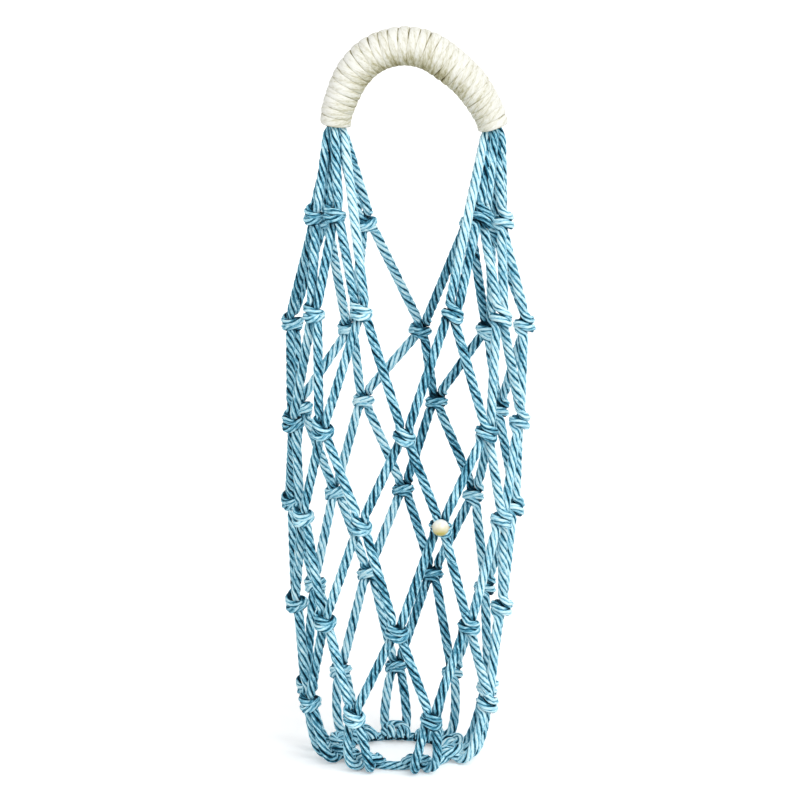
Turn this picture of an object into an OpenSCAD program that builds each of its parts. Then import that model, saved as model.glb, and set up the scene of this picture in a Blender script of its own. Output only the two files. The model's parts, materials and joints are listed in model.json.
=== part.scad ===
// Bottle carrier: nine doubled cords knotted into a net round a bottle, gathered into
// two bunches and held by an arched handle that is wound closely with a second cord.
// The front is -Y, the handle spans X, and the table is the plane z = 0.

/* [Cord] */
// Thickness of the blue net cord
cord_d = 4; // [3:0.1:4.2]
// Depth of the flat that a resting cord takes against the table
rest_flat = 0.5; // [0.2:0.1:0.8]
// Gap kept between pieces that move against each other
move_gap = 0.3; // [0.2:0.05:0.6]

/* [Net] */
// Width of the net between cord centres at its widest row
net_w = 97.6; // [90:0.2:110]
// Depth of the net, front to back, at its widest row
net_depth = 95.6; // [90:0.2:110]
// Height of the handle's two ends above the table
handle_z = 268; // [250:1:300]

/* [Knots] */
// Width of a knot over its two wraps
knot_w = 10.4; // [10.2:0.1:12]
// Height of a knot along its cords
knot_h = 7.4; // [6.4:0.1:8.5]
// Width of the flat end where two cords enter a knot
knot_mouth = 9.1; // [8.6:0.1:9.6]
// Distance between the two cords in a knot, centre to centre
cord_pitch = 4.8; // [4.6:0.05:4.9]

/* [Base] */
// Radius of the base ring, to the centre of its cord
ring_r = 23; // [21:0.5:24]
// Thickness of a hitch round the base ring
hitch_d = 8.8; // [8.4:0.1:10]
// Width of a hitch along the base ring
hitch_w = 8; // [7:0.1:8.2]
// Distance from the axis at which the cords turn under the bottle
edge_r = 34; // [33:0.5:37]
// Distance between the two halves of a cord at that turn
edge_spread = 11; // [9:0.5:13]
// Bend radius of the cord at that turn
edge_bend = 6; // [4:0.5:6.5]

/* [Handle] */
// Distance between the handle's two ends
handle_span = 65; // [55:1:75]
// Distance by which the handle stands off the net's axis, to the right
handle_shift = 2.7; // [0:0.1:5]
// Height of the handle's arch over its ends, to the centre line
handle_rise = 35; // [30:1:45]
// Thickness of the bundled cords at the handle's ends
core_end_d = 5.2; // [4:0.1:6]
// Thickness of the bundled cords at the top of the arch, where both sides overlap
core_mid_d = 9.2; // [7:0.1:10]
// Spread of the cord centres where they enter the handle
gather_r = 3; // [2.5:0.1:3.4]
// Thickness of the cream cord wound round the bundle
wrap_cord_d = 3.3; // [2.6:0.1:3.3]
// Gap between the winding and the bundle
wrap_gap = 0.25; // [0.1:0.05:0.4]
// Number of turns in the winding
wrap_turns = 19; // [12:1:19]

/* [Bead] */
// Diameter of the bead
bead_d = 7; // [5:0.1:7.4]
// Height of the bead over the middle of its knot
bead_lift = 1.8; // [1.5:0.1:2.2]
// Direction in which the bead faces, in degrees from its knot's own front
bead_turn = -20; // [-30:1:30]
// Diameter of the bead's bore
bead_bore = 1; // [0.8:0.1:1.4]
// Thickness of the thread that holds the bead
thread_d = 0.84; // [0.6:0.02:0.9]

/* [Hidden] */
$fn = 32;

cords = 9;
// The mouth of the net: no shoulder knot closes the mesh at this place in the row
mouth = 4;
// The row and the knot that carry the bead
bead_row = 2;
bead_knot = 4;

// Rows of knots from the base up. Each has its height and its rise at the back, as shares
// of handle_z, its width as a share of net_w, and its depth and set-back as shares of net_depth
row_shares = [
    [0.097, 0.013, 0.81, 0.805, 0],
    [0.2425, 0.02, 0.885, 0.868, 0],
    [0.412, -0.019, 0.98, 0.962, 0.016],
    [0.558, -0.019, 1, 1, 0],
    [0.748, -0.093, 1.025, 0.962, 0],
    [0.8825, -0.041, 0.82, 0.44, 0]
];
// Where each knot lies round its row, in degrees from the front towards the right
row_turns = [
    [-142, -104, -67, -27, 21, 72, 106, 144, 181],
    [-162, -124, -84, -45, -1, 42, 84, 123, 161],
    [-144, -107, -58, -20, 20, 61, 98, 140, 179],
    [-160, -119.5, -68, -42, 1, 45, 86, 124, 163],
    [-152, -111, -48, -21, 23, 52, 95, 136, 172],
    [-155, -122, -70, -47, 0, 51, 84, 115, 138]
];
// Centre line of the handle, as shares of handle_span and handle_rise
arch_shares = [
    [-0.5, 0], [-0.497, 0.17], [-0.463, 0.386], [-0.391, 0.671], [-0.266, 0.897],
    [-0.088, 1], [0.074, 0.951], [0.205, 0.8], [0.335, 0.594], [0.428, 0.357],
    [0.485, 0.151], [0.5, 0]
];
// Part of the way from a lid knot to the handle at which an unknotted cord is divided
split_share = 0.55;

last_row = len(row_shares) - 1;
lid_row = last_row - 1;
rest_z = cord_d / 2 - rest_flat;
wrap_reach = wrap_cord_d / 2 + wrap_gap;
cut_size = 2 * handle_z;
overrun = cord_d / 2;
seat_gap = cord_d / 100;
arch_steps = 4;
bend_steps = 4;
bend_sides = 12;
core_sides = 10;
neck_sides = 12;
thread_sides = 12;
wrap_sides = 6;
wrap_rings = 24;

cord_blue = [0.45, 0.68, 0.82];
wrap_cream = [0.95, 0.94, 0.88];
bead_cream = [0.96, 0.94, 0.82];

function unit(v) = v / norm(v);
function mix(a, b, t) = a + (b - a) * t;
function wrapped(k) = (k + cords) % cords;

// A matrix that sets the axes x, y and z at the point o
function axes_at(o, x, y, z) = [
    [x.x, y.x, z.x, o.x], [x.y, y.y, z.y, o.y], [x.z, y.z, z.z, o.z], [0, 0, 0, 1]
];
// The same from a z axis and any other direction, which becomes the x axis once squared to it
function aimed(o, z, towards) =
    let (w = unit(z), u = unit(towards - w * (towards * w))) axes_at(o, u, cross(w, u), w);

// Places of the knots
function knot_at(row, k) =
    let (s = row_shares[row], t = row_turns[row][wrapped(k)])
    [
        net_w / 2 * s[2] * sin(t),
        net_depth * (s[4] - s[3] / 2 * cos(t)),
        handle_z * (s[0] + s[1] * (1 - cos(t)) / 2)
    ];
function knot_tangent(row, k) =
    let (t = row_turns[row][wrapped(k)]) unit([net_w * cos(t), net_depth * sin(t), 0]);
function handle_end(side) = [handle_shift + side * handle_span / 2, 0, handle_z];
function end_side(k) = k < mouth ? -1 : 1;

// Cord k passes the odd rows at its own knot, and the even rows at the knot on each side
function even_place(k, side) = wrapped(k + (side + 1) / 2);
function strand_knot(row, k, side) = row % 2 == 0 ? knot_at(row, k) : knot_at(row, even_place(k, side));
function strand_tangent(row, k, side) =
    row % 2 == 0 ? knot_tangent(row, k) * side : -knot_tangent(row, even_place(k, side)) * side;
function is_direct(k, side) = even_place(k, side) == mouth;

// The knots that the two cords of knot k of a row come from and go to
function below(row, k, side) =
    row == 0 ? edge_at(k, side)
    : row % 2 == 0 ? knot_at(row - 1, even_place(k, side)) : knot_at(row - 1, k + (side - 1) / 2);
function above(row, k, side) =
    row == last_row ? handle_end(end_side(k))
    : row % 2 == 1 ? knot_at(row + 1, k + (side - 1) / 2)
    : row == lid_row && is_direct(k, side) ? handle_end(end_side(k))
    : knot_at(row + 1, even_place(k, side));
function knot_axis(row, k) =
    let (p = knot_at(row, k))
    unit(unit(above(row, k, -1) - p) + unit(above(row, k, 1) - p)
         - unit(below(row, k, -1) - p) - unit(below(row, k, 1) - p));
function strand_axis(row, k, side) =
    row % 2 == 0 ? knot_axis(row, k) : knot_axis(row, even_place(k, side));
// The point where a cord leaves a knot: end is 1 at the top of the knot and -1 at its bottom
function port(row, k, side, end) =
    let (up = strand_axis(row, k, side), t = strand_tangent(row, k, side))
    strand_knot(row, k, side) + up * end * knot_h / 2 + unit(t - up * (t * up)) * cord_pitch / 2;

// The base: each doubled cord runs in to the ring below its lowest knot
function base_turn(k) = row_turns[0][k];
function outward(t) = [sin(t), -cos(t), 0];
function along_ring(t) = [cos(t), sin(t), 0];
function base_point(k, r, sideways) =
    outward(base_turn(k)) * r + along_ring(base_turn(k)) * sideways + [0, 0, rest_z];
function edge_at(k, side) = base_point(k, edge_r, side * edge_spread / 2);
function hitch_at(k, side) = base_point(k, ring_r + hitch_d / 2 + seat_gap, side * cord_pitch / 2);

// A straight length of cord
module rod(a, b, d, sides = 32) {
    run = b - a;
    hint = abs(unit(run).z) < 0.9 ? [0, 0, 1] : [0, 1, 0];
    multmatrix(aimed(a, run, hint)) cylinder(h = norm(run), d = d, $fn = sides);
}
// An overhand knot: two wraps of cord round a pair of cords, grown all over by extra
module knot_shape(w, h, flat, extra = 0) {
    lobe = h / 4 + extra;
    rotate_extrude() {
        translate([0, -h / 2 - extra]) square([flat / 2 + extra, h + 2 * extra]);
        for (z = [-h / 4, h / 4]) translate([w / 2 - h / 4, z]) circle(r = lobe);
    }
}
module knot(row, k, extra = 0) {
    out = cross(knot_tangent(row, k), knot_axis(row, k));
    multmatrix(aimed(knot_at(row, k), knot_axis(row, k), out))
        knot_shape(knot_w, knot_h, knot_mouth, extra);
}
module row_of_knots(row, from = 0, to = cords - 1) {
    color(cord_blue) for (k = [from : to]) knot(row, k);
}

// The table cuts what rests on it flat
module below_table() {
    translate([-cut_size / 2, -cut_size / 2, -cut_size]) cube(cut_size);
}

// The base ring: one closed loop of cord under the bottle
module base_ring() {
    color(cord_blue) difference() {
        translate([0, 0, rest_z]) rotate_extrude() translate([ring_r, 0]) circle(d = cord_d);
        below_table();
    }
}
module hitch(k) {
    t = base_turn(k);
    multmatrix(aimed(outward(t) * ring_r + [0, 0, rest_z], along_ring(t), outward(t)))
        knot_shape(hitch_d, hitch_w, knot_mouth - cord_d / 2);
}
module ring_hitches() {
    color(cord_blue) for (k = [0 : cords - 1]) difference() {
        hitch(k);
        translate([0, 0, rest_z]) rotate_extrude() translate([ring_r, 0]) circle(d = cord_d);
        below_table();
    }
}

// The stretch of cord from its lowest knot, round the bottle's edge and in to the ring.
// Its first ring of points lies on the knot's flat end, and it is flat where it rests
function bend_line(a, corner, b, bend) =
    let (u = unit(a - corner), v = unit(b - corner), half = acos(u * v) / 2,
         centre = corner + unit(u + v) * bend / sin(half),
         x = unit(corner + u * bend / tan(half) - centre),
         z = unit(cross(x, v - u)), y = cross(z, x))
    [for (i = [0 : bend_steps])
        let (t = (180 - 2 * half) * i / bend_steps) centre + (x * cos(t) + y * sin(t)) * bend];
function base_line(k, side) = concat(
    [port(0, k, side, -1)],
    bend_line(port(0, k, side, -1), edge_at(k, side), hitch_at(k, side), edge_bend),
    [hitch_at(k, side)]
);
function line_dir(line, i) = unit(line[min(i + 1, len(line) - 1)] - line[max(i - 1, 0)]);
function onto_plane(q, p, along, face) = q - along * ((q - p) * face) / (along * face);
function base_ring_points(line, i, face, sideways) =
    let (d = line_dir(line, i), n = unit(sideways - d * (sideways * d)))
    [for (q = ring_points(line[i], n, cross(d, n), cord_d / 2, bend_sides))
        let (w = i == 0 ? onto_plane(q, line[0], d, face) : q) [w.x, w.y, max(0, w.z)]];
module base_stretch(k, side) {
    line = base_line(k, side);
    tube([for (i = [0 : len(line) - 1])
        base_ring_points(line, i, knot_axis(0, k), along_ring(base_turn(k)))]);
}

// One doubled cord from the base ring up to its knot beside the lid
module net_cord(k) {
    color(cord_blue) for (side = [-1, 1]) {
        base_stretch(k, side);
        for (row = [0 : lid_row - 1]) difference() {
            rod_between(port(row, k, side, 1), port(row + 1, k, side, -1));
            own_knot(row, k, side);
            own_knot(row + 1, k, side);
        }
    }
}
module rod_between(a, b) {
    d = unit(b - a) * overrun;
    rod(a - d, b + d, cord_d);
}
module own_knot(row, k, side) {
    knot(row, row % 2 == 0 ? k : even_place(k, side));
}

// One doubled cord between its lid knot and the shoulder knots, or the point of division
function direct_end(k, side) =
    let (e = handle_end(end_side(k)), p = port(lid_row, k, side, 1))
    e + gather_offset(p, e);
function split_at(k, side) = mix(port(lid_row, k, side, 1), direct_end(k, side), split_share);
module shoulder_cord(k) {
    color(cord_blue) for (side = [-1, 1]) difference() {
        if (is_direct(k, side))
            rod(port(lid_row, k, side, 1), split_at(k, side), cord_d);
        else
            rod_between(port(lid_row, k, side, 1), port(last_row, k, side, -1));
        knot(lid_row, k, move_gap);
        if (!is_direct(k, side)) own_knot(last_row, k, side);
    }
}

// The cords from the shoulder knots to one end of the handle, pressed into one bunch there
function gather_offset(from, end) =
    let (flat = [from.x - end.x, from.y - end.y, 0]) unit(flat) * gather_r;
module neck_cord(from, end) {
    top = end + gather_offset(from, end);
    run = unit(top - from);
    rod(from, top + run * overrun, cord_d, neck_sides);
}
module neck_cords(ends, k, side) {
    end = handle_end(side);
    color(cord_blue) difference() {
        union() {
            for (j = ends) for (s = [-1, 1])
                neck_cord(port(last_row, wrapped(j - (1 + s) / 2), s, 1), end);
            neck_cord(split_at(k, -side) + unit(direct_end(k, -side) - split_at(k, -side)) * move_gap,
                      end);
        }
        for (j = ends) knot(last_row, j, move_gap);
        translate([-cut_size / 2, -cut_size / 2, handle_z]) cube(cut_size);
    }
}

// Centre line of the handle, drawn through its points as a smooth curve
function arch_point(i) =
    let (s = arch_shares[max(0, min(len(arch_shares) - 1, i))])
    [handle_shift + handle_span * s.x, 0, handle_z + move_gap + handle_rise * s.y];
function curve(a, b, c, d, t) =
    (b * 2 + (c - a) * t + (a * 2 - b * 5 + c * 4 - d) * t * t
     + (b * 3 - a - c * 3 + d) * t * t * t) / 2;
function curve_at(t) =
    let (i = floor(t)) curve(arch_point(i - 1), arch_point(i), arch_point(i + 1), arch_point(i + 2), t - i);
arch_spans = len(arch_shares) - 1;
arch_line = [for (i = [0 : arch_spans * arch_steps]) curve_at(i / arch_steps)];
function run_lengths(p) = [
    for (i = 0, s = 0; i < len(p); i = i + 1, s = s + (i < len(p) ? norm(p[i] - p[i - 1]) : 0)) s
];
arch_runs = run_lengths(arch_line);
arch_length = arch_runs[len(arch_runs) - 1];
// The point at distance s along the centre line, and the direction there
function arch_find(s) = max([for (i = [0 : len(arch_runs) - 2]) if (arch_runs[i] <= s) i]);
function arch_at(s) =
    let (c = max(0, min(arch_length, s)), i = arch_find(c))
    mix(arch_line[i], arch_line[i + 1], (c - arch_runs[i]) / (arch_runs[i + 1] - arch_runs[i]));
function arch_dir(s) =
    unit(arch_at(s + wrap_cord_d) - arch_at(s - wrap_cord_d));
// The bundle swells towards the middle, where the cords of both sides overlap
function core_r(s) = mix(core_end_d, core_mid_d, sin(180 * s / arch_length)) / 2;

// A tube through rings of points, each ring round one place of its centre line
function ring_points(p, n, b, r, sides) =
    [for (j = [0 : sides - 1]) p + (n * cos(360 * j / sides) + b * sin(360 * j / sides)) * r];
module tube(rings) {
    n = len(rings);
    m = len(rings[0]);
    polyhedron(
        points = [for (ring = rings) each ring],
        faces = concat(
            [for (j = [1 : m - 2]) [0, j, j + 1]],
            [for (i = [0 : n - 2]) for (j = [0 : m - 1]) each [
                [i * m + j, (i + 1) * m + j, (i + 1) * m + (j + 1) % m],
                [i * m + j, (i + 1) * m + (j + 1) % m, i * m + (j + 1) % m]
            ]],
            [for (j = [1 : m - 2]) [(n - 1) * m, (n - 1) * m + j + 1, (n - 1) * m + j]]
        )
    );
}
module handle_core() {
    across = [0, 1, 0];
    color(cord_blue) tube([
        for (i = [0 : len(arch_line) - 1])
            let (d = i == 0 || i == len(arch_line) - 1 ? [0, 0, i == 0 ? 1 : -1] : arch_dir(arch_runs[i]))
            ring_points(arch_line[i], across, cross(d, across), core_r(arch_runs[i]), core_sides)
    ]);
}

// The winding: one cord turned round the bundle from end to end, its own ends left straight
wrap_start = wrap_cord_d / 2 + move_gap;
wrap_length = arch_length - 2 * wrap_start;
wrap_count = wrap_turns * wrap_rings;
function wrap_out(i) =
    let (s = wrap_start + wrap_length * i / wrap_count, a = 90 + 360 * i / wrap_rings,
         d = arch_dir(s), across = [0, 1, 0])
    across * sin(a) + cross(d, across) * cos(a);
function wrap_at(i) =
    let (s = wrap_start + wrap_length * i / wrap_count)
    arch_at(s) + wrap_out(i) * (core_r(s) + wrap_reach);
wrap_line = [for (i = [0 : wrap_count]) wrap_at(i)];
function wrap_dir(i) = unit(wrap_line[min(i + 1, wrap_count)] - wrap_line[max(i - 1, 0)]);
function wrap_ring(i, shift = 0) =
    let (d = wrap_dir(i), n = unit(wrap_out(i) - d * (wrap_out(i) * d)))
    ring_points(wrap_line[i] + d * shift, n, cross(d, n), wrap_cord_d / 2, wrap_sides);
// The least distance between one turn and the next, looked for near the point one turn on
wrap_window = 5;
wrap_least = min([
    for (i = [0 : wrap_count - wrap_rings]) for (j = [-wrap_window : wrap_window])
        if (i + wrap_rings + j <= wrap_count)
            norm(wrap_line[i + wrap_rings + j] - wrap_line[i])
]) - wrap_cord_d;
echo(winding_turns = wrap_turns, least_gap_to_itself = wrap_least, arch_length = arch_length);
module handle_wrap() {
    color(wrap_cream) tube(concat(
        [wrap_ring(0, -wrap_cord_d / 2)],
        [for (i = [0 : wrap_count]) wrap_ring(i)],
        [wrap_ring(wrap_count, wrap_cord_d / 2)]
    ));
}

// The bead turns on a thread that is sewn into the front of one knot
bead_up = knot_axis(bead_row, bead_knot);
knot_front = unit(cross(knot_tangent(bead_row, bead_knot), bead_up));
bead_out = knot_front * cos(bead_turn) + cross(bead_up, knot_front) * sin(bead_turn);
bead_across = cross(bead_up, bead_out);
bead_at = knot_at(bead_row, bead_knot) + bead_up * bead_lift
    + bead_out * (knot_w / 2 + bead_d / 2 + move_gap);
module bead() {
    color(bead_cream) multmatrix(aimed(bead_at, bead_across, bead_up)) rotate_extrude()
        intersection() {
            circle(d = bead_d);
            translate([bead_bore / 2, -bead_d]) square([bead_d, 2 * bead_d]);
        }
}
// The thread leaves its knot beside the bead, turns square into the bore and comes back
module bead_thread() {
    out = bead_across * (bead_d + thread_d + move_gap) / 2;
    seat = sqrt(pow(knot_w / 2, 2) - pow(norm(out) - thread_d / 2, 2)) + seat_gap;
    deep = bead_out * (knot_w / 2 + bead_d / 2 + move_gap - seat);
    function loop(p, b) = ring_points(p, bead_up, b, thread_d / 2, thread_sides);
    color(bead_cream) tube([
        loop(bead_at - out - deep, -bead_across), loop(bead_at - out, bead_out - bead_across),
        loop(bead_at + out, bead_out + bead_across), loop(bead_at + out - deep, bead_across)
    ]);
}

base_ring();
ring_hitches();
for (k = [0 : cords - 1]) {
    net_cord(k);
    shoulder_cord(k);
}
row_of_knots(0);  // base_knots
row_of_knots(1);  // lower_knots
row_of_knots(2);  // middle_knots
row_of_knots(3);  // upper_knots
row_of_knots(4);  // lid_knots
row_of_knots(last_row, 0, mouth - 1);  // shoulder_knots_left
row_of_knots(last_row, mouth + 1, cords - 1);  // shoulder_knots_right
neck_cords([0 : mouth - 1], mouth - 1, -1);  // neck_cords_left
neck_cords([mouth + 1 : cords - 1], mouth, 1);  // neck_cords_right
handle_core();
handle_wrap();
bead();
bead_thread();
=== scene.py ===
import json
import math
import random

import bpy
import numpy as np
from mathutils import Matrix, Vector


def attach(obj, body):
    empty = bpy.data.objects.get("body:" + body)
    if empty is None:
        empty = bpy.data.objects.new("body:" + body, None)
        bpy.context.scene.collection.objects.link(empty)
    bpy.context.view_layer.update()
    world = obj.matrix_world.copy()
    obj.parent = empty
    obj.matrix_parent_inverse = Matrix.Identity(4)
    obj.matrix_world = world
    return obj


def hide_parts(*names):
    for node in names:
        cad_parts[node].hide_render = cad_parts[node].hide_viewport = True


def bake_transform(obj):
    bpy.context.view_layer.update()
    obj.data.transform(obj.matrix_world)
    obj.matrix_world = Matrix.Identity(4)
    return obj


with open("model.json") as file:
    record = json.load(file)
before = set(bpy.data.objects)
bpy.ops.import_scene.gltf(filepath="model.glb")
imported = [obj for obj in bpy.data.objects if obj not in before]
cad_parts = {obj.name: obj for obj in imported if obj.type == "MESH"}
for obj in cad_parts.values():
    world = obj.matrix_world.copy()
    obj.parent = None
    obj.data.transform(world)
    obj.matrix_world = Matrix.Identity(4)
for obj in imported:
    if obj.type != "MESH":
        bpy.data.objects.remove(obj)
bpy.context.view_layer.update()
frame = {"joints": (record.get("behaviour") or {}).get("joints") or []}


# Camera
# The photograph is taken from 2.2 m away and 12 degrees above the table, with a long lens.
# The carrier leans one degree to the right in it, which is the camera's roll.
photo_distance = 2.2
photo_elevation = math.radians(12)
photo_roll = math.radians(1.07)
photo_middle = Vector((-0.00125, 0, 0.1541))
eye = photo_middle + photo_distance * Vector((0, -math.cos(photo_elevation), math.sin(photo_elevation)))
camera = bpy.data.objects.new("camera", bpy.data.cameras.new("camera"))
camera.data.sensor_width = 36
camera.data.lens = 236.6
facing = (photo_middle - eye).to_track_quat("-Z", "Y").to_matrix() @ Matrix.Rotation(photo_roll, 3, "Z")
camera.matrix_world = Matrix.Translation(eye) @ facing.to_4x4()
bpy.context.scene.collection.objects.link(camera)
bpy.context.scene.camera = camera


# Base ring
# The net is started from a closed ring of blue cord that lies under the bottle. It is the
# same cord as the net's, five plies of soft dyed cotton twisted together, joined end to end.
mm = 0.001  # the pieces are sized in millimetres, and made in metres
cord_d, cord_lay = 4.15, 21.0
ring_r, ring_z, ring_squeeze, ring_twists = 23.0, 1.98, 0.94, 7
tiny = 1e-9


def add_node(tree, kind, sockets, **settings):
    """Adds a shader node. Each socket gets a value, or is joined to another node's output."""
    node = tree.nodes.new("ShaderNode" + kind)
    for name, value in settings.items():
        setattr(node, name, value)
    for name, value in sockets.items():
        if isinstance(value, bpy.types.NodeSocket):
            tree.links.new(value, node.inputs[name])
        else:
            node.inputs[name].default_value = value
    return node


def cotton(name, streaks, shades):
    """Soft cotton. The shades go from the bottom of a groove, which is painted shade, to the crest
    of a ply, which is a painted highlight, and the streaks are the fibres along each ply. The mesh
    says where the grooves and fibres lie, and how deep the painted shade is there."""
    material = bpy.data.materials.new(name)
    material.use_nodes = True
    tree = material.node_tree
    shader = tree.nodes["Principled BSDF"]
    shader.inputs["Roughness"].default_value = 0.85
    shader.inputs["Specular IOR Level"].default_value = 0.1
    shader.inputs["Sheen Weight"].default_value = 0.03
    shader.inputs["Sheen Roughness"].default_value = 0.4

    # the fibres are fine across a ply and long on it
    fibre_scale, patch_scale, patchiness = (1.9, 0.5, 1.0), 90.0, 0.22
    # the noise of the fibres lies round a half, which moves both ends of the shades
    darkest, palest = 0.63 + streaks / 2, 1.2 + streaks / 2
    fibre = add_node(tree, "Attribute", {}, attribute_name="fibre")
    fine = add_node(tree, "Mapping", {"Vector": fibre.outputs["Vector"], "Scale": fibre_scale})
    fibres = add_node(tree, "TexNoise", {
        "Vector": fine.outputs["Vector"], "Scale": 1.0, "Detail": 4.0, "Roughness": 0.65})
    place = add_node(tree, "TexCoord", {})
    patches = add_node(tree, "TexNoise", {
        "Vector": place.outputs["Object"], "Scale": patch_scale, "Detail": 2.0})
    groove = add_node(tree, "Attribute", {}, attribute_name="groove")
    streaked = add_node(tree, "Math", {
        0: fibres.outputs["Fac"], 1: streaks, 2: groove.outputs["Fac"]}, operation="MULTIPLY_ADD")
    patchy = add_node(tree, "Math", {
        0: patches.outputs["Fac"], 1: patchiness, 2: streaked.outputs["Value"]}, operation="MULTIPLY_ADD")
    shade = add_node(tree, "MapRange", {
        "Value": patchy.outputs["Value"], "From Min": darkest, "From Max": palest})
    # the ramp paints shade into the grooves and highlights onto the crests, over the cotton's own colour
    dye_and_painted_shade = add_node(tree, "ValToRGB", {"Fac": shade.outputs["Result"]})
    stops = dye_and_painted_shade.color_ramp.elements
    stops[0].color = (*shades[0], 1)
    stops[1].color = (*shades[-1], 1)
    for i in range(1, len(shades) - 1):
        stops.new(i / (len(shades) - 1)).color = (*shades[i], 1)
    tree.links.new(dye_and_painted_shade.outputs["Color"], shader.inputs["Base Color"])
    bump = add_node(tree, "Bump", {"Height": fibres.outputs["Fac"], "Strength": 0.285, "Distance": 0.00025})
    tree.links.new(bump.outputs["Normal"], shader.inputs["Normal"])
    return material


# the darkest blue is painted shade in the grooves, the palest a painted highlight on the crests
blue_cotton = cotton("blue_cotton", streaks=1.0, shades=(
    (0.0005, 0.014, 0.027), (0.011, 0.088, 0.143), (0.09, 0.335, 0.48),
    (0.40, 0.74, 0.87), (0.74, 0.96, 1.0)))


def unit(v):
    """The direction of a vector, or of each of several."""
    return v / np.maximum(np.linalg.norm(v, axis=-1, keepdims=True), tiny)


def distance_along(path):
    """How far along a path each of its points lies."""
    return np.concatenate([[0], np.cumsum(np.linalg.norm(np.diff(path[:, :3], axis=0), axis=1))])


def carried_sides(points):
    """Two directions square to the path at each point, carried along it without twisting."""
    ahead = unit(np.gradient(points, axis=0))
    runs_sideways = abs(ahead[0][0]) >= 0.8
    hint = np.array([0, 1.0, 0]) if runs_sideways else np.array([1.0, 0, 0])
    sides = [unit(np.cross(ahead[0], hint))]
    for heading in ahead[1:]:
        sides.append(unit(sides[-1] - heading * np.dot(sides[-1], heading)))
    sides = np.array(sides)
    return sides, np.cross(ahead, sides)


# The plies of a cord waver in waves, of which one radian takes this length. Where a cord is wound
# its grooves' painted shade is eased by this share, and painted shade darkens its side away from
# the outside to this share. The last value is how square the shoulders of a pressed cord are.
waver_radian = 4.3
wound_groove_paling, hidden_shade = 0.4, 0.68
squareness = 3


class Yarn:
    """Lengths of laid cord that together make one piece."""

    def __init__(self, name):
        self.name = name
        self.count = 0
        self.verts, self.faces, self.fibre, self.groove = [], [], [], []

    def lay(self, path, thickness=cord_d, lay_length=cord_lay, phase=0.0, part=slice(None), plies=5, sides=8,
            fat=0.42, spread=0.58, uneven=0.11, tone=0.0, outside=None, wound=None, pressed=1.0):
        """Lays one cord along a path, whose points have a fourth number, the share of the full
        thickness there, and keeps one part of it. fat and spread are a ply's radius and its
        distance from the cord's middle, as shares of the cord's radius. tone makes the cord paler
        or darker. wound says how far each point is wound, from 0 to 1, and outside which way is
        outwards there. A pressed cord is flat in that direction."""
        right, up = carried_sides(path[:, :3])
        run = distance_along(path)
        half = thickness / 2 * path[:, 3]
        # each ring of points starts inside the cord, so that the fibres' seam is hidden
        around = math.pi + 2 * math.pi * np.arange(sides) / sides
        for ply in range(plies):
            # no ply lies quite evenly, or takes the dye just as the next one does
            waver = uneven * np.sin(run / waver_radian + 2.4 * ply + phase)
            ply_tone = uneven * 0.5 * math.sin(5.1 * ply + 3 * phase)
            angle = phase + 2 * math.pi * (ply / plies - run / lay_length) + waver
            out = right * np.cos(angle)[:, None] + up * np.sin(angle)[:, None]
            middle = path[:, :3] + out * (half * spread)[:, None]
            ahead = unit(np.gradient(middle, axis=0))
            crest = unit(out - ahead * np.sum(out * ahead, axis=1, keepdims=True))
            beside = np.cross(ahead, crest)
            rings = middle[:, None, :] + (half * fat)[:, None, None] * (
                crest[:, None, :] * np.cos(around)[None, :, None]
                + beside[:, None, :] * np.sin(around)[None, :, None])
            # painted shade: each ply is darkest in the grooves, and its crest is a painted highlight
            shade = (0.5 + 0.5 * np.cos(around))[None, :].repeat(len(path), 0)
            if outside is not None:
                lift = np.sum((rings - path[:, None, :3]) * outside[:, None, :], axis=2) / half[:, None]
                # where it is wound, the grooves' painted shade is eased, and painted shade darkens the side
                # of each turn away from the outside
                shade = shade + (1 - shade) * wound_groove_paling * wound[:, None]
                shade = shade * (1 + wound[:, None] * (np.clip(lift * 1.4 + 0.3, hidden_shade, 1) - 1))
            if pressed < 1:
                # a pressed cord's outline is a flattened round with square shoulders
                width = np.sqrt(np.clip(1 - lift ** 2, 0, 1))
                flat = pressed * np.sign(lift) * (1 - width ** squareness) ** (1 / squareness)
                rings = rings + outside[:, None, :] * ((flat - lift) * half[:, None])[:, :, None]
            # tone adds the dye's unevenness, and the painted light and shade that a caller asks for
            shade = shade + np.reshape(tone, (-1, 1)) + ply_tone
            girth = 2 * math.pi * (half * fat).mean()
            # the seed gives each ply fibres of its own
            ply_seed = 17.0 * ply + 3.1 * phase
            self.add_ply(rings[part], run[part], girth, ply_seed, shade[part])

    def add_ply(self, rings, run, girth, ply_seed, shade):
        """Adds a closed tube through the rings, with its fibres' places and its grooves' shade."""
        count, sides = rings.shape[:2]
        corner = np.arange(sides)
        row = self.count + np.arange(count - 1)[:, None] * sides
        here, beside = row + corner, row + (corner + 1) % sides
        self.faces += np.stack([here, beside, beside + sides, here + sides], axis=2).reshape(-1, 4).tolist()
        self.faces.append((self.count + corner[::-1]).tolist())
        self.faces.append((self.count + (count - 1) * sides + corner).tolist())
        self.verts.append(rings.reshape(-1, 3))
        self.fibre.append(np.stack([
            (corner / sides * girth)[None, :].repeat(count, 0), run[:, None].repeat(sides, 1),
            np.full((count, sides), ply_seed)], axis=2).reshape(-1, 3))
        self.groove.append(shade.reshape(-1))
        self.count += count * sides

    def piece(self, material, slot):
        """Makes the mesh of all that was laid, and gives it its material."""
        mesh = bpy.data.meshes.new(self.name)
        mesh.from_pydata((np.vstack(self.verts) * mm).tolist(), [], self.faces)
        fibre = mesh.attributes.new("fibre", "FLOAT_VECTOR", "POINT")
        fibre.data.foreach_set("vector", np.vstack(self.fibre).ravel())
        groove = mesh.attributes.new("groove", "FLOAT", "POINT")
        groove.data.foreach_set("value", np.concatenate(self.groove))
        mesh.polygons.foreach_set("use_smooth", [True] * len(mesh.polygons))
        mesh.materials.append(material)
        obj = bpy.data.objects.new(self.name, mesh)
        bpy.context.scene.collection.objects.link(obj)
        return obj


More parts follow.
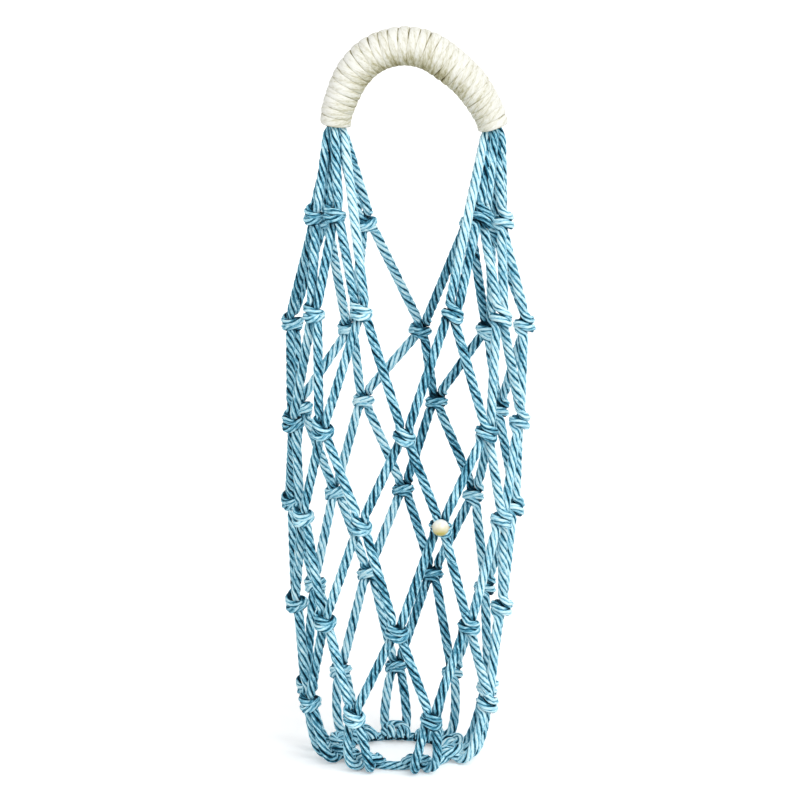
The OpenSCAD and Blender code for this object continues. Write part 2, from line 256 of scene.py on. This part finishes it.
# the twist goes round the ring a whole number of times, so that it closes
bearing = np.linspace(0, 2 * math.pi, round(2 * math.pi * ring_r) + 1)
level = np.full(len(bearing), 1.0)
ring_path = np.stack([
    ring_r * np.sin(bearing), -ring_r * np.cos(bearing), ring_z * level, ring_squeeze * level], axis=1)
ring_yarn = Yarn("base_ring_laid")
ring_yarn.lay(ring_path, lay_length=2 * math.pi * ring_r / ring_twists, uneven=0)
ring_piece = ring_yarn.piece(blue_cotton, "blue_cord")
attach(ring_piece, "net")
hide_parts("base_ring")


# Net cords
# Nine blue cords, each folded in half over the base ring, go out under the bottle, round its
# foot and up as eighteen taut strands. Two strands are tied in one overhand knot where they
# meet, in five rows of nine round the bottle and one row of eight above its lid.
cords = 9
net_w, net_depth = 97.6, 95.6
edge_r, edge_spread, edge_z, rest_z = 34.0, 11.0, 2.15, 1.5
lid_row, last_row, mouth = 4, 5, 4
bead_row, bead_knot = 2, 4
joints = {joint["name"]: joint for joint in frame["joints"]}
handle_shift, handle_z = joints["handle_fold"]["pos_m"][0] / mm, joints["handle_fold"]["pos_m"][2] / mm
handle_span = 65.0

# Each row's height, how far its back rises, its width, its depth and how far back it lies, as
# shares of the carrier's sizes, and its knots' bearings, in degrees from the front to the right
row_shares = [
    (0.097, 0.013, 0.81, 0.805, 0), (0.2425, 0.02, 0.885, 0.868, 0), (0.412, -0.019, 0.98, 0.962, 0.016),
    (0.558, -0.019, 1, 1, 0), (0.748, -0.093, 1.025, 0.962, 0), (0.8825, -0.041, 0.82, 0.44, 0)]
row_bearings = [
    (-142, -104, -67, -27, 21, 72, 106, 144, 181), (-162, -124, -84, -45, -1, 42, 84, 123, 161),
    (-144, -107, -58, -20, 20, 61, 98, 140, 179), (-160, -119.5, -68, -42, 1, 45, 86, 124, 163),
    (-152, -111, -48, -21, 23, 52, 95, 136, 172), (-155, -122, -70, -47, 0, 51, 84, 115, 138)]


def knot_at(row, k):
    """The middle of knot k in a row. The rows are counted up from the base."""
    height, back_rise, width, depth, back = row_shares[row]
    bearing = math.radians(row_bearings[row][k % cords])
    return np.array([
        net_w / 2 * width * math.sin(bearing),
        net_depth * (back - depth / 2 * math.cos(bearing)),
        handle_z * (height + back_rise * (1 - math.cos(bearing)) / 2)])


def base_point(k, r, sideways, z):
    """A point under the bottle, r from the middle towards the first knot of cord k."""
    bearing = math.radians(row_bearings[0][k])
    out = np.array([math.sin(bearing), -math.cos(bearing), 0])
    across = np.array([math.cos(bearing), math.sin(bearing), 0])
    return out * r + across * sideways + np.array([0, 0, z])


def handle_end(side):
    """Where the bundle of the handle starts, at its left or right end."""
    return np.array([handle_shift + side * handle_span / 2, 0, handle_z])


def next_place(row, k, side):
    """The place, in the rows above and below, of the knot to the left or right of knot k."""
    return (k + (side + 1) // 2) % cords if row % 2 == 0 else k + (side - 1) // 2


def bunch_side(k, side):
    """The end of the handle, -1 or 1, to which one strand of cord k runs."""
    place = next_place(lid_row, k, side)
    return -1 if (k if place == mouth else place) < mouth else 1


def below(row, k, side):
    """Where the strand comes from that enters knot k from below, at its left or right."""
    if row == 0:
        return base_point(k, edge_r, side * edge_spread / 2, rest_z)
    return knot_at(row - 1, next_place(row, k, side))


def above(row, k, side):
    """Where the strand goes to that leaves knot k at its top, at its left or right."""
    if row == last_row:
        return handle_end(-1 if k < mouth else 1)
    if row == lid_row and next_place(row, k, side) == mouth:
        return handle_end(bunch_side(k, side))
    return knot_at(row + 1, next_place(row, k, side))


def knot_axes(row, k):
    """The knot's own directions: to the right along the row, out of the net, and up."""
    at = knot_at(row, k)
    up = unit(unit(above(row, k, -1) - at) + unit(above(row, k, 1) - at)
              - unit(below(row, k, -1) - at) - unit(below(row, k, 1) - at))
    bearing = math.radians(row_bearings[row][k])
    right = unit(np.array([net_w * math.cos(bearing), net_depth * math.sin(bearing), 0]))
    right = unit(right - up * np.dot(right, up))
    return right, np.cross(right, up), up


# The two strands' ways through a knot, to its right, outwards and up from its middle, from the
# top down: one goes round twice, and the other runs through behind its turns
round_strand = [
    (-2.1, 0.4, 4.6), (-2.8, 1.9, 3.0), (-1.2, 3.1, 1.9), (1.3, 3.2, 0.7), (3.3, 1.6, -0.2),
    (3.1, -1.2, -0.2), (0.4, -2.9, 0.3), (-2.8, -1.8, 0.2), (-3.5, 0.6, -0.6), (-1.8, 2.9, -1.8),
    (0.8, 3.2, -2.9), (3.2, 1.6, -2.5), (3.4, -0.8, -1.2), (1.2, -2.6, -1.2), (-1.7, -2.2, -2.3),
    (-2.4, -0.6, -4.4)]
inner_strand = [(2.1, 0.4, 4.6), (1.7, 0.5, 2.4), (0.5, 0, 0), (1.4, -0.3, -2.4), (2.4, -0.2, -4.6)]
knot_tilts, knot_sizes, looseness = (-9, 7), (0.87, 0.95), 0.22
knot_squeeze, knot_end_squeeze, bead_knot_bulge = 0.86, 0.95, 1.18


def knot_points(row, k, runs_through):
    """One strand's way up through a knot. Each knot is tied a little differently."""
    tying = random.Random(100 * row + k)
    tilt = math.radians(tying.uniform(*knot_tilts))
    size = tying.uniform(*knot_sizes)
    bulge = bead_knot_bulge if (row, k) == (bead_row, bead_knot) else 1.0
    right, out, up = knot_axes(row, k)
    way = inner_strand if runs_through else round_strand
    points = []
    for x, y, z in way:
        at_end = (x, y, z) in (way[0], way[-1])
        if not at_end:
            x, z = x * math.cos(tilt) - z * math.sin(tilt), x * math.sin(tilt) + z * math.cos(tilt)
            meant = (x * size, y * bulge, z * size)
            x, y, z = (place + tying.uniform(-looseness, looseness) for place in meant)
        squeeze = knot_end_squeeze if at_end else knot_squeeze
        points.append((*(knot_at(row, k) + right * x + out * y + up * z), squeeze))
    return points[::-1]


taut_shares = (0.12, 0.5, 0.88)
points_per_mm = 4


def taut(a, b):
    """Points that keep the run between two knots straight."""
    return [(*(a[i] + (b[i] - a[i]) * share for i in range(3)), 1.0) for share in taut_shares]


def smooth_path(points, step):
    """A smooth curve through the points, with new points about one step apart."""
    given = np.array([np.array(point, float) for point in points])
    given = np.vstack([2 * given[0] - given[1], given, 2 * given[-1] - given[-2]])
    gaps = np.linalg.norm(np.diff(given[:, :3], axis=0), axis=1)
    time = np.concatenate([[0], np.cumsum(np.sqrt(gaps) + tiny)])

    def between(i, j, start, end):
        """Where one is now on the way from the start, left at time i, to the end, met at time j."""
        return ((time[j] - now) * start + (now - time[i]) * end) / (time[j] - time[i])

    fine = []
    for i in range(1, len(given) - 2):
        count = max(2, int(gaps[i] * points_per_mm))
        now = np.linspace(time[i], time[i + 1], count, endpoint=False)[:, None]
        ways = [between(j, j + 1, given[j], given[j + 1]) for j in (i - 1, i, i + 1)]
        before = between(i - 1, i + 1, ways[0], ways[1])
        after = between(i, i + 2, ways[1], ways[2])
        fine.append(between(i, i + 1, before, after))
    fine = np.vstack(fine + [given[-2:-1]])
    run = distance_along(fine)
    at = np.linspace(0, run[-1], max(3, int(round(run[-1] / step)) + 1))
    return np.stack([np.interp(at, run, fine[:, c]) for c in range(4)], axis=1)


# A strand's way over the ring: out from the ring's middle line, sideways, up, and its thickness
over_ring = [
    (-4.2, 1.9, 2.1, 0.9), (-3.3, 2.0, 3.4, 0.95), (0, 2.1, 5.1, 0.97), (3.4, 2.2, 3.4, 0.97),
    (6, 2.4, 2.15, 1)]
# round the edge of the bottle's foot: back under it, and up its side
round_edge = [(5, 0), (1.7, 1.7), (0, 6)]
# and into the handle: the share of its place in the bunch, aside, up, and its thickness
into_handle = [(1, 0, -1.8, 0.88), (0.55, 0, 2, 0.78), (0.42, 0.2, 6, 0.7)]
neck_squeeze = 0.96

# Every second strand of a bunch lies on its outside, side by side, and the others between them
bunch_outer_r, bunch_inner_r = 3.55, 1.5
bunch_place = {}
for bunch in (-1, 1):
    end = handle_end(bunch)
    comers = []
    for k in range(cords):
        for side in (-1, 1):
            if bunch_side(k, side) == bunch:
                place = next_place(lid_row, k, side)
                knot = knot_at(lid_row, k) if place == mouth else knot_at(last_row, place)
                comers.append((math.atan2(knot[1] - end[1], (knot[0] - end[0]) * bunch), k, side))
    comers.sort()
    for i, (bearing, k, side) in enumerate(comers):
        spread_bearing = 2 * math.pi * ((i + 0.5) / len(comers) - 0.5)
        outward = np.array([math.cos(spread_bearing) * bunch, math.sin(spread_bearing), 0])
        bunch_place[k, side] = (outward, bunch_outer_r if i % 2 == 0 else bunch_inner_r)

# The strand beside the mouth is painted paler, as painted light, those inside a bunch darker, as
# painted shade, and the others a little darker. Each has its own tone in the net, and takes on its
# bunch's painted tone above a height.
mouth_painted_light, outer_painted_shade, inner_painted_shade = 0.15, -0.04, -0.17
mouth_painted_light_z, bunch_painted_shade_z, painted_tone_fade = 205, 243, 20
strand_tones, strand_phases, strand_step = (-0.08, 0.08), (0, 6.28), 1.0
neck_cut_z = joints["neck_turn"]["pos_m"][2] / mm + 1
fold_cut_z = handle_z - 9
# A point is in a knot within this distance of its middle and this height from it, with soft edges
knot_reach, knot_half_h, reach_fade, height_fade = 6.2, 3.9, 2, 1.2


class Strand:
    """One strand's path, its looks, and where on it one piece ends and the next begins."""

    def __init__(self, k, side):
        self.run_through_knots(k, side)
        self.enter_handle(bunch_side(k, side), *bunch_place[k, side])
        self.path = smooth_path(self.points, strand_step)
        height = self.path[:, 2]
        twisting = random.Random(31 * k + side)
        phase = twisting.uniform(*strand_phases)
        net_tone = twisting.uniform(*strand_tones)
        # painted light for the strand beside the mouth, painted shade for the strands in a bunch
        if last_row not in self.tops:
            bunch_painted_tone, painted_tone_z = mouth_painted_light, mouth_painted_light_z
        else:
            bunch_painted_tone = inner_painted_shade if bunch_place[k, side][1] == bunch_inner_r else outer_painted_shade
            painted_tone_z = bunch_painted_shade_z
        tone = net_tone + (bunch_painted_tone - net_tone) * np.clip((height - painted_tone_z) / painted_tone_fade, 0, 1)
        # outside and wound place the painted shade between the turns of the knots
        outside, wound = self.winding()
        self.looks = dict(phase=phase, tone=tone, outside=outside, wound=wound)
        self.lid_cut = self.just_above(lid_row)
        self.neck_cut = int(np.argmax(height > neck_cut_z))
        if last_row in self.tops:
            self.neck_cut = self.just_above(last_row)
        self.fold_cut = int(np.argmax(height > fold_cut_z))

    def run_through_knots(self, k, side):
        """The points from the fold over the ring up to the strand's last knot."""
        self.points = [(*base_point(k, ring_r + out, side * across, z), squeeze)
                       for out, across, z, squeeze in over_ring]
        self.tops, self.middles, self.axes = {}, [], []
        corner = base_point(k, edge_r, side * edge_spread / 2, edge_z)
        inward = unit(np.array(self.points[-1][:3]) - corner)
        up = unit(np.array(knot_points(0, k, side > 0)[0][:3]) - corner)
        for back, rise in round_edge:
            self.points.append((*(corner + inward * back + up * rise), 1.0))
        for row in range(last_row + 1):
            place = k if row % 2 == 0 else next_place(lid_row, k, side)
            if (row, place) == (last_row, mouth):
                break
            way = knot_points(row, place, (side > 0) == (row % 2 == 0))
            if row > 0:
                self.points += taut(self.points[-1], way[0])
            self.points += way
            self.tops[row] = np.array(way[-1][:3])
            self.middles.append(knot_at(row, place))
            self.axes.append(knot_axes(row, place)[2])

    def enter_handle(self, bunch, outward, out_r):
        """The points from the last knot up into the handle, at the strand's place in its bunch."""
        entry = []
        for share, aside, rise, squeeze in into_handle:
            at = handle_end(bunch) + outward * out_r * share + np.array([bunch * aside, 0, rise])
            entry.append((*at, squeeze))
        self.points += taut(self.points[-1], entry[0])
        self.points[-1] = (*self.points[-1][:3], neck_squeeze)
        self.points += entry

    def winding(self):
        """The way out of the nearest knot at each point, and how deep in that knot the point is."""
        reach = np.array([np.linalg.norm(self.path[:, :3] - middle, axis=1) for middle in self.middles])
        nearest = reach.argmin(axis=0)
        out = self.path[:, :3] - np.array(self.middles)[nearest]
        axis = np.array(self.axes)[nearest]
        level = np.sum(out * axis, axis=1, keepdims=True)
        near = np.clip((knot_reach - reach.min(axis=0)) / reach_fade, 0, 1)
        beside = np.clip((knot_half_h - np.abs(level[:, 0])) / height_fade, 0, 1)
        return unit(out - axis * level), near * beside

    def just_above(self, row):
        """The first point of the path above the top of the strand's knot in a row."""
        return int(np.argmin(np.linalg.norm(self.path[:, :3] - self.tops[row], axis=1))) + 1


# The fold by which a cord grips the ring, as far out from the ring's middle line, sideways and
# up, and its thickness, for one half of it
fold_half = [(-3.6, 3.9, 2.1, 0.85), (-1.0, 4.6, 3.6, 0.95), (2.4, 4.3, 4.7, 1), (4.2, 2.2, 5.6, 1)]
fold_top = (4.6, 0, 5.9, 1)
fold_d, fold_step = 3.9, 0.8
ring_fold = [(out, -across, z, squeeze) for out, across, z, squeeze in fold_half]
ring_fold += [fold_top] + fold_half[::-1]

strands = {(k, side): Strand(k, side) for k in range(cords) for side in (-1, 1)}
for k in range(cords):
    yarn = Yarn(f"net_cord_{k + 1}_laid")
    for side in (-1, 1):
        strand = strands[k, side]
        yarn.lay(strand.path, part=slice(0, strand.lid_cut + 1), **strand.looks)
    fold = [(*base_point(k, ring_r + out, across, z), squeeze) for out, across, z, squeeze in ring_fold]
    yarn.lay(smooth_path(fold, fold_step), thickness=fold_d, phase=k)
    net_cord = yarn.piece(blue_cotton, "blue_cord")
    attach(net_cord, "net")
    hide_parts(f"net_cord_{k + 1}")
    if k == 0:
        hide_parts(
            "ring_hitches", "base_knots", "lower_knots", "middle_knots", "upper_knots", "lid_knots")


# Shoulder cords
# Above the bottle's lid the strands of each cord draw in, taut, to the last knots. Nothing
# holds them there but the knots, so on the carrier they lean over when the handle is turned; here
# they are made as they hang at rest.
lid_clearance, knot_clearance = 1, 5
for k in range(cords):
    yarn = Yarn(f"shoulder_cord_{k + 1}_laid")
    start_z, end_z = [], []
    for side in (-1, 1):
        strand = strands[k, side]
        yarn.lay(strand.path, part=slice(strand.lid_cut, strand.neck_cut + 1), **strand.looks)
        start_z.append(strand.path[strand.lid_cut, 2] - lid_clearance)
        if last_row in strand.tops:
            end_z.append(strand.middles[-1][2] - knot_clearance)
    shoulder_cord = yarn.piece(blue_cotton, "blue_cord")
    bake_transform(shoulder_cord)
    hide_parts(f"shoulder_cord_{k + 1}")
    if k == 0:
        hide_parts("shoulder_knots_left", "shoulder_knots_right")


# Neck cords
# Nine strands on each side gather in a bunch and run up into the handle. Each side is made in
# a lower and an upper stretch, parted below the handle's fold; on the carrier the lower one
# twists with the handle, and the upper one bends when the handle folds over.
for bunch, word in ((-1, "left"), (1, "right")):
    lower_yarn, upper_yarn = Yarn(f"neck_cords_{word}_lower"), Yarn(f"neck_cords_{word}_upper")
    for (k, side), strand in strands.items():
        if bunch_side(k, side) == bunch:
            lower_yarn.lay(strand.path, part=slice(strand.neck_cut, strand.fold_cut + 1), **strand.looks)
            upper_yarn.lay(strand.path, part=slice(strand.fold_cut, None), **strand.looks)
    lower = lower_yarn.piece(blue_cotton, "blue_cord")
    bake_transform(lower)
    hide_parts(f"neck_cords_{word}")
    upper = upper_yarn.piece(blue_cotton, "blue_cord")
    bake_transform(upper)


# Handle bundle
# The strands from both sides lie together inside the handle as one stiff, arched bundle of
# blue cord. It shows only where it enters the winding. The arch is the same as in the solids.
arch_shares = [
    (-0.5, 0), (-0.497, 0.17), (-0.463, 0.386), (-0.391, 0.671), (-0.266, 0.897), (-0.088, 1),
    (0.074, 0.951), (0.205, 0.8), (0.335, 0.594), (0.428, 0.357), (0.485, 0.151), (0.5, 0)]
handle_rise, handle_lift, arch_step = 35.0, 0.3, 0.5
bundle_end_r, bundle_mid_r, bundle_swell = 3.3, 5.35, 0.8
bundle_cords, bundle_fill, bundle_squeeze = 7, 0.6, 0.85
arch_skip = 3  # the bundle and what backs the winding need only every third point of the arch
arch_points = [(handle_shift + handle_span * x, 0, handle_z + handle_lift + handle_rise * z, 1)
               for x, z in arch_shares]
arch = smooth_path(arch_points, arch_step)
arch_run = distance_along(arch)
arch_len = arch_run[-1]
arch_heading = unit(np.gradient(arch[:, :3], axis=0))
front_to_back = np.array([0.0, 1.0, 0.0])


def bundle_radius(run):
    """The bundle is thinnest at the ends of the handle, and thickest at the top of the arch."""
    swelling = np.sin(math.pi * run / arch_len) ** bundle_swell
    return bundle_end_r + (bundle_mid_r - bundle_end_r) * swelling


bundle_yarn = Yarn("handle_bundle")
outwards = np.cross(arch_heading, front_to_back)
for i in range(bundle_cords):
    bearing = i * 2 * math.pi / (bundle_cords - 1)
    fill = 0 if i == 0 else bundle_fill
    place = (front_to_back * math.sin(bearing) + outwards * math.cos(bearing)) * fill
    middle = arch[:, :3] + place * bundle_radius(arch_run)[:, None]
    squeeze = bundle_squeeze * bundle_radius(arch_run) / bundle_mid_r
    bundle_yarn.lay(np.concatenate([middle, squeeze[:, None]], axis=1)[::arch_skip], phase=i)
bundle = bundle_yarn.piece(blue_cotton, "blue_cord")
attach(bundle, "handle")
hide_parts("handle_core")


# Handle winding
# Soft undyed cotton cord is wound round the bundle by hand in close, slightly uneven turns
# that are pressed flat. Its inner side, which the hand holds, is painted darker and yellower, partly
# as the hand's yellowing and partly as painted shade, and its outer side paler, as painted light.
wrap_turns, turn_steps = 29, 40
wrap_d, wrap_flat, wrap_depth, wrap_spread = 3.8, 0.52, 0.72, 1.04
wrap_lay, wrap_plies, wrap_sides, wrap_fat, ply_spread = 30.0, 4, 16, 0.86, 0.15
wrap_lean, lean_from, turn_shift, turn_vary, outer_swell = 1.6, 0.55, 0.28, 0.05, 0.12
# how far the inner side is painted darker, as wear and painted shade, and the outer side paler, as painted
# light
wear_and_shade_tone, wear_and_shade_start, wear_and_shade_gathering = -0.27, 0.1, 1.5
outer_side_painted_light, outer_side_light_start = 0.11, 0.3
backing_depth, backing_sides = 1.1, 20
# as for the blue, the darkest cream is painted shade in the grooves and the palest a painted highlight
cream_cotton = cotton("cream_cotton", streaks=0.75, shades=(
    (0.10, 0.08, 0.03), (0.29, 0.26, 0.13), (0.53, 0.505, 0.345), (0.74, 0.73, 0.63), (0.87, 0.87, 0.81)))

turn_no = np.arange(wrap_turns * turn_steps + 1) / turn_steps
turn_angle = math.pi / 2 + 2 * math.pi * turn_no
# the middle of the first turn lies just inside the end of the bundle, and so does the last one's
wrap_edge = wrap_d * 0.45
along = wrap_edge + (arch_len - 2 * wrap_edge) * turn_no / wrap_turns
# the turns lean over towards the right end
leaning = np.clip((along / arch_len - lean_from) / (1 - lean_from), 0, 1)
along = along - wrap_lean * np.cos(turn_angle) * leaning
# and no two of them lie quite alike
winder = np.random.default_rng(12)
whole_turns = np.arange(wrap_turns + 1)
shift = np.interp(turn_no, whole_turns, winder.uniform(-turn_shift, turn_shift, wrap_turns + 1))
size = np.interp(turn_no, whole_turns, winder.uniform(1 - turn_vary, 1 + turn_vary, wrap_turns + 1))
along = along + shift * np.sin(math.pi * along / arch_len)
middle_line = np.stack([np.interp(along, arch_run, arch[:, c]) for c in range(3)], axis=1)
heading = unit(np.stack([np.interp(along, arch_run, arch_heading[:, c]) for c in range(3)], axis=1))
out = (front_to_back * np.sin(turn_angle)[:, None]
       + np.cross(heading, front_to_back) * np.cos(turn_angle)[:, None])
wrap_r = bundle_radius(along) + wrap_d * (wrap_depth - wrap_flat / 2)
# a turn is squeezed on the inner side of the arch and spread on its outer side
turn_squeeze = (1 + outer_swell * np.cos(turn_angle)) * size
# the inner side is painted darker, most of all in the middle, partly as the hand's wear and partly
# as painted shade, and the outer side paler, as painted light
midmost = np.sin(math.pi * np.clip(along / arch_len, 0, 1)) ** wear_and_shade_gathering
worn_and_shaded = np.clip(-wear_and_shade_start - np.cos(turn_angle), 0, 1) * midmost
outer_side_lit = np.clip(outer_side_light_start + np.cos(turn_angle), 0, 1)
wrap_yarn = Yarn("handle_winding")
wrap_yarn.lay(
    np.concatenate([middle_line + out * wrap_r[:, None], turn_squeeze[:, None]], axis=1),
    thickness=wrap_d * wrap_spread, lay_length=wrap_lay, plies=wrap_plies, sides=wrap_sides, fat=wrap_fat,
    spread=ply_spread, tone=outer_side_painted_light * outer_side_lit + wear_and_shade_tone * worn_and_shaded, outside=out, wound=np.ones(len(along)),
    pressed=wrap_flat)
# Behind the turns the winding is solid, as where two turns press against each other. The fourth
# number of this path is the radius itself, so the thickness is 2.
backing_r = bundle_radius(arch_run) + backing_depth
backing = np.concatenate([arch[:, :3], backing_r[:, None]], axis=1)
wrap_yarn.lay(
    backing[arch_skip:-arch_skip:arch_skip], thickness=2, plies=1, fat=1, spread=0, sides=backing_sides)
winding = wrap_yarn.piece(cream_cotton, "cream_cord")
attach(winding, "handle")
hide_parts("handle_wrap")


# Bead
# A round bead of cream plastic with a pearly coat, drilled through. Its colour is painted white
# above, as painted light, and darker and yellower below, as painted shade.
bead_r, bore_r = 3.5, 0.5
bead_steps, bead_sides = 24, 48
bead_at = np.array(joints["bead_spin"]["pos_m"]) / mm
bore_axis = np.array(joints["bead_spin"]["axis"])
bead_up = knot_axes(bead_row, bead_knot)[2]


def pearl_coat(name, low, high, lower_colour, upper_colour):
    """A pearly coat whose colour changes between two heights, in metres, with faint swirls."""
    material = bpy.data.materials.new(name)
    material.use_nodes = True
    tree = material.node_tree
    shader = tree.nodes["Principled BSDF"]
    shader.inputs["Roughness"].default_value = 0.28
    shader.inputs["Coat Weight"].default_value = 0.6
    shader.inputs["Coat Roughness"].default_value = 0.12
    shader.inputs["Subsurface Weight"].default_value = 0.2
    shader.inputs["Subsurface Radius"].default_value = (0.002, 0.0015, 0.001)
    shader.inputs["Subsurface Scale"].default_value = 0.5
    place = add_node(tree, "TexCoord", {})
    swirl = add_node(tree, "TexNoise", {"Vector": place.outputs["Object"], "Scale": 260, "Detail": 2})
    height = add_node(tree, "SeparateXYZ", {"Vector": place.outputs["Object"]})
    # painted light and shade: the colour is paler higher up, and darker and yellower lower down
    level = add_node(tree, "MapRange", {"Value": height.outputs["Z"], "From Min": low, "From Max": high})
    swirled = add_node(tree, "Math", {
        0: swirl.outputs["Fac"], 1: 0.9, 2: level.outputs["Result"]}, operation="MULTIPLY_ADD")
    tint = add_node(tree, "MapRange", {"Value": swirled.outputs["Value"], "From Min": 0.4, "From Max": 1.25})
    colour = add_node(tree, "ValToRGB", {"Fac": tint.outputs["Result"]})
    colour.color_ramp.elements[0].color = (*lower_colour, 1)
    colour.color_ramp.elements[1].color = (*upper_colour, 1)
    tree.links.new(colour.outputs["Color"], shader.inputs["Base Color"])
    return material


# the pearl is painted pale at the top as painted light, and darker yellow at the bottom as painted shade
pearl = pearl_coat("pearl", (bead_at[2] - 0.5 * bead_r) * mm, (bead_at[2] + bead_r) * mm,
                   (0.52, 0.45, 0.08), (0.92, 0.93, 0.89))
rim = math.asin(bore_r / bead_r)
bead_side = np.cross(bead_up, bore_axis)
verts, faces = [], []
for i in range(bead_steps + 1):
    slope = rim + (math.pi - 2 * rim) * i / bead_steps
    for j in range(bead_sides):
        around = 2 * math.pi * j / bead_sides
        outward = bead_up * math.cos(around) + bead_side * math.sin(around)
        verts.append((bead_at + (bore_axis * math.cos(slope) + outward * math.sin(slope)) * bead_r) * mm)
        # the last row of faces closes the bore
        here, after = i * bead_sides, (i + 1) % (bead_steps + 1) * bead_sides
        beside = (j + 1) % bead_sides
        faces.append((here + j, here + beside, after + beside, after + j))
bead_mesh = bpy.data.meshes.new("bead_pearl")
bead_mesh.from_pydata([v.tolist() for v in verts], [], faces)
bead_mesh.polygons.foreach_set("use_smooth", [i < bead_steps * bead_sides for i in range(len(faces))])
bead_mesh.materials.append(pearl)
bead = bpy.data.objects.new("bead_pearl", bead_mesh)
bpy.context.scene.collection.objects.link(bead)
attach(bead, "bead")
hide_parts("bead")


# Bead thread
# A thin three-ply cream sewing thread comes out of the bead's knot, goes through the bore and
# is sewn back into the knot, so that the bead can spin on it.
thread_d, thread_lay, thread_step = 0.6, 2.2, 0.35
# half of the thread's way, from inside the bore to the knot: sideways, and out from the bead
thread_half = [(1.5, 0), (3.3, 0), (3.72, -0.7), (3.4, -2.1), (2.6, -3.6), (1.8, -5.0)]
thread_way = [(-across, out) for across, out in thread_half[::-1]] + thread_half
bead_out = np.cross(bore_axis, bead_up)
thread_points = [(*(bead_at + bore_axis * across + bead_out * out), 1) for across, out in thread_way]
thread_path = smooth_path(thread_points, thread_step)
thread_yarn = Yarn("bead_thread_laid")
thread_yarn.lay(thread_path, thickness=thread_d, lay_length=thread_lay, plies=3, sides=6, fat=0.5, spread=0.5)
thread = thread_yarn.piece(cream_cotton, "sewing_thread")
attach(thread, "net")
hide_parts("bead_thread")


# Floor and lights
# A plain white studio: a broad light from the upper right in front, weaker ones from the left
# and from behind, and an even surround that is white to the camera and in reflections.
floor_white, floor_glow = 0.93, 0.3
surround_light, surround_seen = 0.45, 1.0
lit_middle = Vector((0, 0, 0.15))
bpy.ops.mesh.primitive_plane_add(size=30, location=(0, 0, -0.0001))
floor = bpy.context.object
floor.name = "floor"
floor_paint = bpy.data.materials.new("studio_floor")
floor_paint.use_nodes = True
floor_shader = floor_paint.node_tree.nodes["Principled BSDF"]
floor_shader.inputs["Base Color"].default_value = (floor_white, floor_white, floor_white, 1)
floor_shader.inputs["Roughness"].default_value = 0.9
floor_shader.inputs["Emission Color"].default_value = (1, 1, 1, 1)
floor_ray = add_node(floor_paint.node_tree, "LightPath", {})
glow = add_node(floor_paint.node_tree, "Math", {
    0: floor_ray.outputs["Is Camera Ray"], 1: floor_glow}, operation="MULTIPLY")
floor_paint.node_tree.links.new(glow.outputs["Value"], floor_shader.inputs["Emission Strength"])
floor.data.materials.append(floor_paint)

world = bpy.data.worlds.new("studio")
bpy.context.scene.world = world
world.use_nodes = True
surround = world.node_tree.nodes["Background"]
surround.inputs["Color"].default_value = (1, 1, 1, 1)
world_ray = add_node(world.node_tree, "LightPath", {})
seen = add_node(world.node_tree, "Math", {
    0: world_ray.outputs["Is Camera Ray"], 1: world_ray.outputs["Is Glossy Ray"]}, operation="MAXIMUM")
brightness = add_node(world.node_tree, "MapRange", {
    "Value": seen.outputs["Value"], "To Min": surround_light, "To Max": surround_seen})
world.node_tree.links.new(brightness.outputs["Result"], surround.inputs["Strength"])


def add_lamp(name, kind, energy, place, towards):
    """A lamp at a place, in metres, that shines in a direction."""
    lamp = bpy.data.lights.new(name, kind)
    lamp.energy = energy
    holder = bpy.data.objects.new(name, lamp)
    holder.location = place
    holder.rotation_euler = towards.to_track_quat("-Z", "Y").to_euler()
    bpy.context.scene.collection.objects.link(holder)
    return lamp


for name, place, size, power in (("fill", (-1.2, -0.9, 0.8), 0.8, 3), ("back_fill", (0.9, 1.4, 0.9), 1.0, 7)):
    add_lamp(name, "AREA", power, place, lit_middle - Vector(place)).size = size
add_lamp("key", "SUN", 2.05, (0, 0, 0), Vector((-0.5, 0.9, -0.85))).angle = math.radians(50)
bpy.context.scene.view_settings.view_transform = "Standard"
